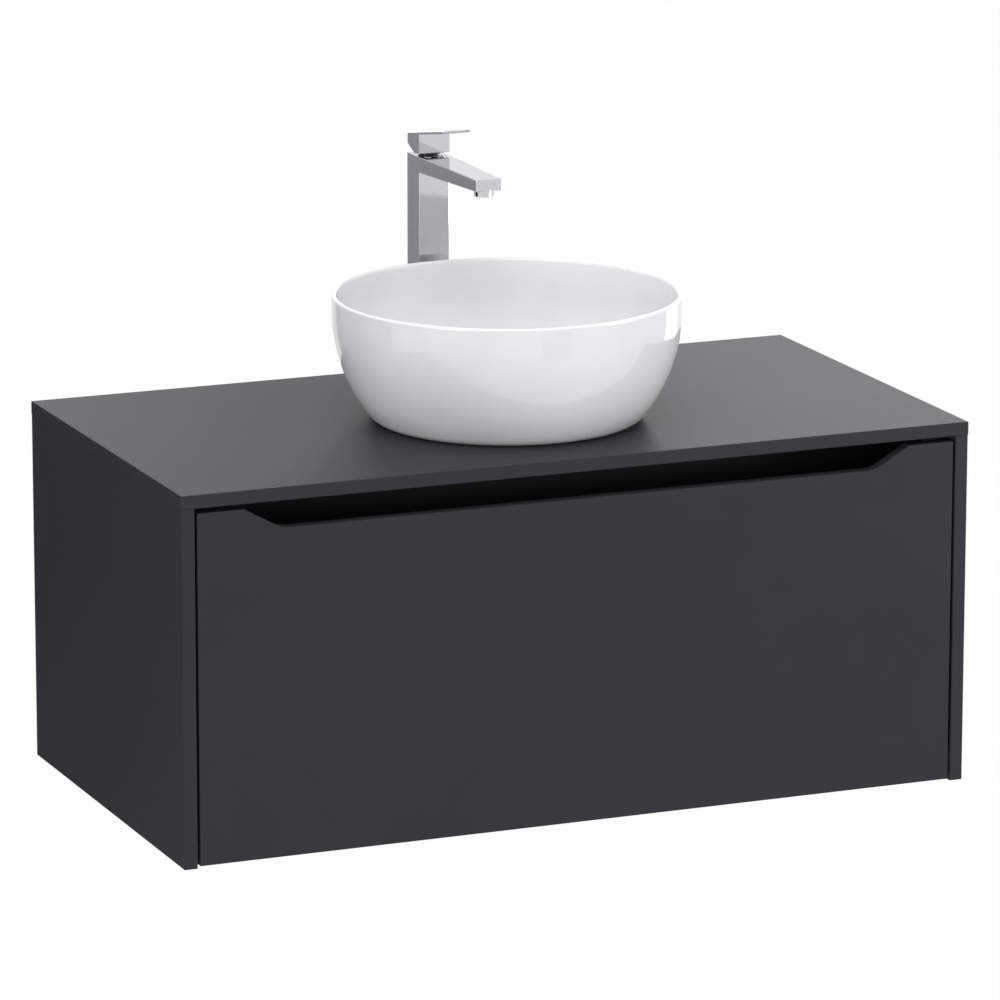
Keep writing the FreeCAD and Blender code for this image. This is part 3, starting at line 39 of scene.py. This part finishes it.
camera_data = bpy.data.cameras.new("camera")
camera_data.lens = LENS
camera_data.sensor_width = SENSOR
camera_data.clip_end = SIGHT_LIMIT
camera = bpy.data.objects.new("camera", camera_data)
camera.location = edge_middle + CAMERA_STAND
camera.rotation_euler = [math.radians(turn) for turn in CAMERA_TURNS]
bpy.context.collection.objects.link(camera)
bpy.context.scene.camera = camera
bpy.context.scene.view_settings.view_transform = "Standard"


# Studio: a white painted floor that fades into a white room. Seen directly or in a mirror both are
# plain white, and the floor keeps a part of the cabinet's shadow. The washstand hangs on a wall that
# isn't built, so the floor lies as far under it as such cabinets are hung.

FLOOR_DROP = 0.80            # below the countertop's surface
FLOOR_SIZE = 40.0
FLOOR_GLOW = 0.975           # share of the seen floor that is plain white; the rest takes the shadow
ROOM_FILL = 0.48             # light that the room's walls throw back on the object


def linear(hex_colour):
    """sRGB hex to the linear RGBA that the shaders take."""
    out = []
    for i in (1, 3, 5):
        c = int(hex_colour[i:i + 2], 16) / 255
        out.append(c / 12.92 if c <= 0.04045 else ((c + 0.055) / 1.055) ** 2.4)
    return (*out, 1.0)


def add(tree, kind, settings=None, **links):
    """One node: settings are its properties or input values, links its inputs by name or as _number."""
    node = tree.nodes.new("ShaderNode" + kind)
    for key, value in (settings or {}).items():
        if isinstance(key, int) or key in node.inputs:
            node.inputs[key].default_value = value
        else:
            setattr(node, key, value)
    for key, source in links.items():
        name = int(key[1:]) if key[0] == "_" else key.replace("_", " ")
        tree.links.new(source, node.inputs[name])
    return node


def new_material(name):
    """Empty node material and its tree."""
    material = bpy.data.materials.new(name)
    material.use_nodes = True
    material.node_tree.nodes.clear()
    return material, material.node_tree


def stage_board(name, width, height, place, tip, material):
    """Flat board of the studio, tipped up about X by some degrees, then moved to its place."""
    mesh = bpy.data.meshes.new(name)
    shape = bmesh.new()
    bmesh.ops.create_grid(shape, x_segments=1, y_segments=1, size=0.5)
    bmesh.ops.scale(shape, vec=(width, height, 1), verts=shape.verts)
    tipped = Matrix.Rotation(math.radians(tip), 4, "X")
    bmesh.ops.transform(shape, matrix=Matrix.Translation(place) @ tipped, verts=shape.verts)
    shape.to_mesh(mesh)
    shape.free()
    mesh.materials.append(material)
    board = bpy.data.objects.new(name, mesh)
    bpy.context.collection.objects.link(board)
    return board


def seen_rays(tree):
    """1 for rays from the camera, from a mirror or through glass, else 0."""
    path = add(tree, "LightPath")
    seen = add(tree, "Math", {"operation": "MAXIMUM"}, _0=path.outputs["Is Camera Ray"],
               _1=path.outputs["Is Glossy Ray"])
    return add(tree, "Math", {"operation": "MAXIMUM"}, _0=seen.outputs[0],
               _1=path.outputs["Is Transmission Ray"]).outputs[0]


floor_paint, tree = new_material("white_floor")
share = add(tree, "Math", {"operation": "MULTIPLY", 1: FLOOR_GLOW}, _0=seen_rays(tree))
diffuse = add(tree, "BsdfDiffuse", {"Color": linear("#b8b8ba")})
glow = add(tree, "Emission", {"Color": (1, 1, 1, 1), "Strength": 1.0})
mix = add(tree, "MixShader", None, _0=share.outputs[0], _1=diffuse.outputs[0], _2=glow.outputs[0])
add(tree, "OutputMaterial", None, Surface=mix.outputs[0])
stage_board("floor", FLOOR_SIZE, FLOOR_SIZE, (0, 0, top_high[2] - FLOOR_DROP), 0, floor_paint)

world = bpy.data.worlds.new("studio")
bpy.context.scene.world = world
world.use_nodes = True
tree = world.node_tree
tree.nodes.clear()
fill = add(tree, "Background", {"Color": (1, 1, 1, 1), "Strength": ROOM_FILL})
white = add(tree, "Background", {"Color": (1, 1, 1, 1), "Strength": 1.0})
mix = add(tree, "MixShader", None, _0=seen_rays(tree), _1=fill.outputs[0], _2=white.outputs[0])
add(tree, "OutputWorld", None, Surface=mix.outputs[0])

# Upright screens, which the camera doesn't see. A black one, left of the left end and a little behind
# it, keeps light off that side. A grey one further back is what the tap's left side mirrors, and a
# black flag low in front puts a dark band in the tap's round parts.

UPRIGHT = 90                 # degrees

for name, colour, width, height, place in (
    ("black_screen", "#0c0c0d", 2.4, 1.35, (-1.76, 0.30, -0.05)),
    ("grey_screen", "#d1d1d5", 1.0, 1.8, (-0.90, 1.60, 0.00)),
    ("front_flag", "#0c0c0d", 0.80, 0.50, (0.40, -2.60, -0.50)),
):
    cloth, tree = new_material(name)
    matt = add(tree, "BsdfDiffuse", {"Color": linear(colour)})
    add(tree, "OutputMaterial", None, Surface=matt.outputs[0])
    screen = stage_board(name, width, height, place, UPRIGHT, cloth)
    screen.visible_camera = False

# Soft lamps: two behind, either side of the line that the spout's flat top mirrors, give the countertop
# its sheen. One overhead fills the bowl, two near the countertop's height light the basin's outside.
# A low strip on the right makes the highlight down the basin's right edge.


def lamp(name, place, aim, width, height, power):
    """Soft rectangular lamp turned towards a point; sizes in metres, power in watts."""
    data = bpy.data.lights.new(name, "AREA")
    data.shape = "RECTANGLE"
    data.size = width
    data.size_y = height
    data.energy = power
    light = bpy.data.objects.new(name, data)
    light.location = place
    light.rotation_euler = (Vector(aim) - Vector(place)).to_track_quat("-Z", "Y").to_euler()
    bpy.context.collection.objects.link(light)


lamp("back_right_light", (3.15, 4.1, 1.3), (0, -0.3, 0.1), 2.3, 1.2, 58)
lamp("back_left_light", (0.75, 4.7, 1.2), (0, -0.3, 0.1), 1.2, 1.0, 22)
lamp("top_light", (-0.5, -1.0, 2.7), (0, -0.3, 0.1), 2.0, 2.0, 40)
lamp("left_light", (-3.5, -2.4, 0.15), (0, -0.3, 0.08), 1.8, 0.9, 54)
lamp("right_light", (3.2, -2.5, -0.1), (0, -0.3, 0.08), 1.8, 0.9, 62)
lamp("right_strip", (2.9, 1.0, -0.52), (0.15, -0.27, 0.12), 1.2, 0.4, 2.6)


# Boards: melamine-faced chipboard in matt anthracite, pressed with a fine pearl grain, with an edge
# strip of the same colour. The face has a low sheen that shows only where light grazes it. The rail
# behind the finger pull is faced in black as painted shade: the black stands in for the shadow in
# the recess, so the opening stays dark.

PEARL = 0.0016               # pearl grain, drawn coarser than its real 0.3 mm so that it shows
CLOUD = 0.22                 # slow change of tone over the printed paper


def melamine(name, colour, roughness, sheen_level):
    """Pressed melamine face of one colour."""
    material, tree = new_material(name)
    place = add(tree, "TexCoord")
    grain = add(tree, "TexNoise", {"Scale": 1 / PEARL, "Detail": 2.0, "Roughness": 0.6},
                Vector=place.outputs["Object"])
    cloud = add(tree, "TexNoise", {"Scale": 1 / CLOUD, "Detail": 3.0, "Roughness": 0.55},
                Vector=place.outputs["Object"])
    tone = add(tree, "MapRange", {"From Min": 0.35, "From Max": 0.65, "To Min": 0.96, "To Max": 1.04},
               Value=cloud.outputs["Fac"])
    tint = add(tree, "Mix", {"data_type": "RGBA", "blend_type": "MULTIPLY", 0: 1.0, 6: linear(colour)},
               _7=tone.outputs[0])
    rough = add(tree, "MapRange", {"From Min": 0.3, "From Max": 0.7, "To Min": roughness - 0.04,
                                   "To Max": roughness + 0.04}, Value=grain.outputs["Fac"])
    bump = add(tree, "Bump", {"Strength": 0.12, "Distance": 0.0002}, Height=grain.outputs["Fac"])
    surface = add(tree, "BsdfPrincipled", {"Specular IOR Level": sheen_level},
                  Base_Color=tint.outputs[2], Roughness=rough.outputs[0], Normal=bump.outputs[0])
    add(tree, "OutputMaterial", None, Surface=surface.outputs[0])
    return material


def finish(material, *names):
    """Give CAD nodes this material in place of their plain ones."""
    for name in names:
        mesh = nodes[name].data
        mesh.materials.clear()
        mesh.materials.append(material)


anthracite = melamine("matt_anthracite_melamine", "#37383c", 0.54, 0.08)
finish(anthracite, "countertop", "side_panel_left", "side_panel_right", "rear_rail_upper",
       "rear_rail_lower", "drawer_front")
# The front rail's black facing is painted shade for the recess behind the finger pull.
finish(melamine("recess_shade_black_melamine", "#19191b", 0.54, 0.09), "front_rail")


# Dowels: round beech pins, glued into the rails' ends and the side panels. The wood is raw, so it is
# dull, with short dark flecks along the grain.

FLECKS_ALONG = 60.0          # per metre of grain, so each is about 17 mm long
FLECKS_ACROSS = 900.0        # per metre across the grain, so each is about 1 mm wide

beech, tree = new_material("raw_beech")
place = add(tree, "TexCoord")
along = add(tree, "Mapping", {"Scale": (FLECKS_ALONG, FLECKS_ACROSS, FLECKS_ACROSS)},
            Vector=place.outputs["Object"])
fleck = add(tree, "TexNoise", {"Scale": 1.0, "Detail": 3.0, "Roughness": 0.6}, Vector=along.outputs[0])
shade = add(tree, "ValToRGB", None, Fac=fleck.outputs["Fac"])
shade.color_ramp.elements[0].position = 0.36
shade.color_ramp.elements[0].color = linear("#8f6a42")
shade.color_ramp.elements[1].position = 0.60
shade.color_ramp.elements[1].color = linear("#d2ac7c")
bump = add(tree, "Bump", {"Strength": 0.4, "Distance": 0.0003}, Height=fleck.outputs["Fac"])
surface = add(tree, "BsdfPrincipled", {"Roughness": 0.65, "IOR": 1.45}, Base_Color=shade.outputs[0],
              Normal=bump.outputs[0])
add(tree, "OutputMaterial", None, Surface=surface.outputs[0])
finish(beech, "dowels")


# Fittings: cams and bolts, angle plates, hangers and wall plates, slides, screws and the tap's clamp
# plate. All are steel or zinc casting with a thin bright zinc coat, which shows a faint spangle and
# dulls in patches. The castings are the darker and duller.

SPANGLE = 0.005              # zinc crystals
DULL = 0.03                  # patches of dulled coat


def zinc_coat(name, colour, roughness):
    """Bright zinc-coated metal."""
    material, tree = new_material(name)
    place = add(tree, "TexCoord")
    spangle = add(tree, "TexVoronoi", {"Scale": 1 / SPANGLE}, Vector=place.outputs["Object"])
    patch = add(tree, "TexNoise", {"Scale": 1 / DULL, "Detail": 4.0, "Roughness": 0.6},
                Vector=place.outputs["Object"])
    level = add(tree, "SeparateColor", None, Color=spangle.outputs["Color"])
    tone = add(tree, "MapRange", {"To Min": 0.93, "To Max": 1.05}, Value=level.outputs[0])
    tint = add(tree, "Mix", {"data_type": "RGBA", "blend_type": "MULTIPLY", 0: 1.0, 6: linear(colour)},
               _7=tone.outputs[0])
    rough = add(tree, "MapRange", {"From Min": 0.35, "From Max": 0.65, "To Min": roughness - 0.06,
                                   "To Max": roughness + 0.10}, Value=patch.outputs["Fac"])
    bump = add(tree, "Bump", {"Strength": 0.08, "Distance": 0.0002}, Height=patch.outputs["Fac"])
    surface = add(tree, "BsdfPrincipled", {"Metallic": 1.0}, Base_Color=tint.outputs[2],
                  Roughness=rough.outputs[0], Normal=bump.outputs[0])
    add(tree, "OutputMaterial", None, Surface=surface.outputs[0])
    return material


sheet_zinc = zinc_coat("zinc_coated_steel", "#b4b8bc", 0.28)
cast_zinc = zinc_coat("zinc_casting", "#a5a7aa", 0.42)
finish(sheet_zinc, "cam_bolts", "top_angles", "carcass_screws", "hanger_hooks", "hanger_adjusters",
       "wall_plates", "drawer_brackets", "drawer_screws", "slide_outer_left", "slide_outer_right",
       "slide_middle_left", "slide_middle_right", "slide_inner_left", "slide_inner_right",
       "tap_clamp_plate")
finish(cast_zinc, "cam_locks", "hanger_housings")


# Drawer box: two sides, a back and a bottom, screwed together. They are the same faced chipboard as the
# front, in a slightly lighter grey with a little more sheen.

finish(melamine("grey_melamine", "#434448", 0.50, 0.12), "drawer_side_left", "drawer_side_right",
       "drawer_back", "drawer_bottom")


# Gallery rails above the drawer's sides: steel with a baked anthracite lacquer, which has a soft gloss
# and a slight ripple. They sit in blocks moulded in black ABS, whose fine texture looks half matt.

ORANGE_PEEL = 0.0025         # lacquer's ripple

lacquer, tree = new_material("anthracite_lacquer")
place = add(tree, "TexCoord")
ripple = add(tree, "TexNoise", {"Scale": 1 / ORANGE_PEEL, "Detail": 1.0}, Vector=place.outputs["Object"])
tone = add(tree, "MapRange", {"From Min": 0.3, "From Max": 0.7, "To Min": 0.95, "To Max": 1.06},
           Value=ripple.outputs["Fac"])
tint = add(tree, "Mix", {"data_type": "RGBA", "blend_type": "MULTIPLY", 0: 1.0, 6: linear("#2f3033")},
           _7=tone.outputs[0])
bump = add(tree, "Bump", {"Strength": 0.15, "Distance": 0.0002}, Height=ripple.outputs["Fac"])
surface = add(tree, "BsdfPrincipled", {"Roughness": 0.32, "IOR": 1.5, "Coat Weight": 0.3,
                                       "Coat Roughness": 0.2},
              Base_Color=tint.outputs[2], Normal=bump.outputs[0])
add(tree, "OutputMaterial", None, Surface=surface.outputs[0])
finish(lacquer, "gallery_rails")

SPARK_GRAIN = 0.0008         # eroded texture of the mould, drawn about twice its real size
MELT_FLOW = 0.04             # slow change of tone that the melt leaves


def moulded(name, colour, roughness, depth):
    """Injection-moulded plastic with the mould's fine texture."""
    material, tree = new_material(name)
    place = add(tree, "TexCoord")
    grain = add(tree, "TexNoise", {"Scale": 1 / SPARK_GRAIN, "Detail": 2.0}, Vector=place.outputs["Object"])
    flow = add(tree, "TexNoise", {"Scale": 1 / MELT_FLOW, "Detail": 2.0}, Vector=place.outputs["Object"])
    tone = add(tree, "MapRange", {"From Min": 0.35, "From Max": 0.65, "To Min": 0.97, "To Max": 1.03},
               Value=flow.outputs["Fac"])
    tint = add(tree, "Mix", {"data_type": "RGBA", "blend_type": "MULTIPLY", 0: 1.0, 6: linear(colour)},
               _7=tone.outputs[0])
    rough = add(tree, "MapRange", {"From Min": 0.35, "From Max": 0.65, "To Min": roughness - 0.05,
                                   "To Max": roughness + 0.05}, Value=flow.outputs["Fac"])
    bump = add(tree, "Bump", {"Strength": depth, "Distance": 0.0002}, Height=grain.outputs["Fac"])
    surface = add(tree, "BsdfPrincipled", {"IOR": 1.5}, Base_Color=tint.outputs[2],
                  Roughness=rough.outputs[0], Normal=bump.outputs[0])
    add(tree, "OutputMaterial", None, Surface=surface.outputs[0])
    return material


finish(moulded("black_abs", "#1b1b1d", 0.45, 0.35), "gallery_holders")


# Basin: vitreous china, slip cast and fired under a white glaze. The glaze is glossy and very
# slightly uneven; the foot that stands on the countertop is wiped bare before firing.

GLAZE_WAVE = 0.045           # slow unevenness of the glaze
BISCUIT_GRAIN = 0.0012
FOOT_BARE = 0.0012           # bare height of the foot
GLAZE_FADE = 0.0003          # either side of the line where the glaze ends

china, tree = new_material("white_glazed_china")
place = add(tree, "TexCoord")
wave = add(tree, "TexNoise", {"Scale": 1 / GLAZE_WAVE, "Detail": 2.0, "Roughness": 0.4},
           Vector=place.outputs["Object"])
grain = add(tree, "TexNoise", {"Scale": 1 / BISCUIT_GRAIN, "Detail": 3.0}, Vector=place.outputs["Object"])
glaze_bump = add(tree, "Bump", {"Strength": 0.05, "Distance": 0.001}, Height=wave.outputs["Fac"])
tone = add(tree, "MapRange", {"From Min": 0.35, "From Max": 0.65, "To Min": 0.985, "To Max": 1.01},
           Value=wave.outputs["Fac"])
tint = add(tree, "Mix", {"data_type": "RGBA", "blend_type": "MULTIPLY", 0: 1.0, 6: linear("#f3f4f5")},
           _7=tone.outputs[0])
glaze = add(tree, "BsdfPrincipled", {"Roughness": 0.04, "IOR": 1.52}, Base_Color=tint.outputs[2],
            Normal=glaze_bump.outputs[0])
bare_bump = add(tree, "Bump", {"Strength": 0.4, "Distance": 0.0002}, Height=grain.outputs["Fac"])
biscuit_tone = add(tree, "MapRange", {"From Min": 0.3, "From Max": 0.7, "To Min": 0.92, "To Max": 1.05},
                   Value=grain.outputs["Fac"])
biscuit_tint = add(tree, "Mix", {"data_type": "RGBA", "blend_type": "MULTIPLY", 0: 1.0,
                                 6: linear("#d8cfc2")}, _7=biscuit_tone.outputs[0])
biscuit = add(tree, "BsdfPrincipled", {"Roughness": 0.75, "IOR": 1.5}, Base_Color=biscuit_tint.outputs[2],
              Normal=bare_bump.outputs[0])
height = add(tree, "SeparateXYZ", None, Vector=place.outputs["Object"])
bare_line = top_high[2] + FOOT_BARE
glazed = add(tree, "MapRange", {"From Min": bare_line - GLAZE_FADE, "From Max": bare_line + GLAZE_FADE},
             Value=height.outputs["Z"])
mix = add(tree, "MixShader", None, _0=glazed.outputs[0], _1=biscuit.outputs[0], _2=glaze.outputs[0])
add(tree, "OutputMaterial", None, Surface=mix.outputs[0])
finish(china, "basin")


# Gaskets and seals under the basin, the waste, the plug and the tap: black EPDM rubber, cut from sheet
# or moulded. It is dull, with a fine speckle from its filler.

RUBBER_SPECK = 0.0015

rubber, tree = new_material("black_epdm_rubber")
place = add(tree, "TexCoord")
speck = add(tree, "TexNoise", {"Scale": 1 / RUBBER_SPECK, "Detail": 3.0}, Vector=place.outputs["Object"])
tone = add(tree, "MapRange", {"From Min": 0.35, "From Max": 0.65, "To Min": 0.85, "To Max": 1.25},
           Value=speck.outputs["Fac"])
tint = add(tree, "Mix", {"data_type": "RGBA", "blend_type": "MULTIPLY", 0: 1.0, 6: linear("#202022")},
           _7=tone.outputs[0])
bump = add(tree, "Bump", {"Strength": 0.25, "Distance": 0.0002}, Height=speck.outputs["Fac"])
surface = add(tree, "BsdfPrincipled", {"Roughness": 0.8, "IOR": 1.5, "Specular IOR Level": 0.3},
              Base_Color=tint.outputs[2], Normal=bump.outputs[0])
add(tree, "OutputMaterial", None, Surface=surface.outputs[0])
finish(rubber, "basin_gasket", "waste_seals", "plug_seal", "tap_gasket", "tap_clamp_rubber")


# Waste, tap, the ring that holds its cartridge down, and handle: brass, polished and chromed. The
# polish leaves flat faces a touch wavy, and a thin film of limescale dulls them in patches. The waste's
# nut, the handle's spindle and its screw are chromed without that polish, so they are satin.

POLISH_WAVE = 0.030
FILM = 0.012


def chromed(name, colour, roughness):
    """Bright chrome over polished brass."""
    material, tree = new_material(name)
    place = add(tree, "TexCoord")
    wave = add(tree, "TexNoise", {"Scale": 1 / POLISH_WAVE, "Detail": 1.0}, Vector=place.outputs["Object"])
    film = add(tree, "TexNoise", {"Scale": 1 / FILM, "Detail": 4.0, "Roughness": 0.6},
               Vector=place.outputs["Object"])
    rough = add(tree, "MapRange", {"From Min": 0.4, "From Max": 0.75, "To Min": roughness,
                                   "To Max": roughness + 0.05}, Value=film.outputs["Fac"])
    bump = add(tree, "Bump", {"Strength": 0.03, "Distance": 0.001}, Height=wave.outputs["Fac"])
    surface = add(tree, "BsdfPrincipled", {"Base Color": linear(colour), "Metallic": 1.0},
                  Roughness=rough.outputs[0], Normal=bump.outputs[0])
    add(tree, "OutputMaterial", None, Surface=surface.outputs[0])
    return material


chrome = chromed("polished_chrome", "#cbccd0", 0.045)
finish(chrome, "waste_body", "plug_cap", "tap_body", "cartridge_ring", "aerator_housing", "handle")
finish(chromed("satin_chrome", "#c2c3c6", 0.20), "waste_nut", "handle_spindle", "handle_screw")


# Plug's stem, tap's stud and its nut: brass, left bare as they come off the lathe, with rings from the
# tool and a patchy tarnish.

RING_PITCH = 0.0056549       # tool's rings, drawn many times wider than real ones so that they show
WAVE_TURN = 20               # radians that the wave node turns through in a metre at scale 1
TARNISH = 0.01               # patches of tarnish

brass, tree = new_material("turned_brass")
place = add(tree, "TexCoord")
marks = add(tree, "TexWave", {"wave_type": "BANDS", "bands_direction": "Z",
                              "Scale": math.tau / (WAVE_TURN * RING_PITCH), "Distortion": 1.0,
                              "Detail": 2.0}, Vector=place.outputs["Object"])
tarnish = add(tree, "TexNoise", {"Scale": 1 / TARNISH, "Detail": 3.0}, Vector=place.outputs["Object"])
shade = add(tree, "ValToRGB", None, Fac=tarnish.outputs["Fac"])
shade.color_ramp.elements[0].position = 0.35
shade.color_ramp.elements[0].color = linear("#a98a4a")
shade.color_ramp.elements[1].position = 0.65
shade.color_ramp.elements[1].color = linear("#cdae66")
bump = add(tree, "Bump", {"Strength": 0.12, "Distance": 0.0002}, Height=marks.outputs["Fac"])
surface = add(tree, "BsdfPrincipled", {"Metallic": 1.0, "Roughness": 0.28}, Base_Color=shade.outputs[0],
              Normal=bump.outputs[0])
add(tree, "OutputMaterial", None, Surface=surface.outputs[0])
finish(brass, "plug_stem", "tap_stud", "tap_clamp_nut")


# Trap: pipes, bottle and hand nuts, with the rosette that covers the hole in the wall. All are moulded
# in white polypropylene, which has a soft gloss.

finish(moulded("white_polypropylene", "#e6e7e6", 0.34, 0.12), "trap_inlet_pipe", "trap_inlet_nut",
       "trap_head", "trap_cup", "trap_unions", "trap_outlet_pipe", "trap_rosette")


# Inside the tap: the cartridge, the yoke that turns on it and the aerator's insert. They are moulded in
# black acetal, a little smoother than the gallery's blocks.

finish(moulded("black_acetal", "#19191b", 0.38, 0.2), "cartridge", "handle_yoke", "aerator_insert")
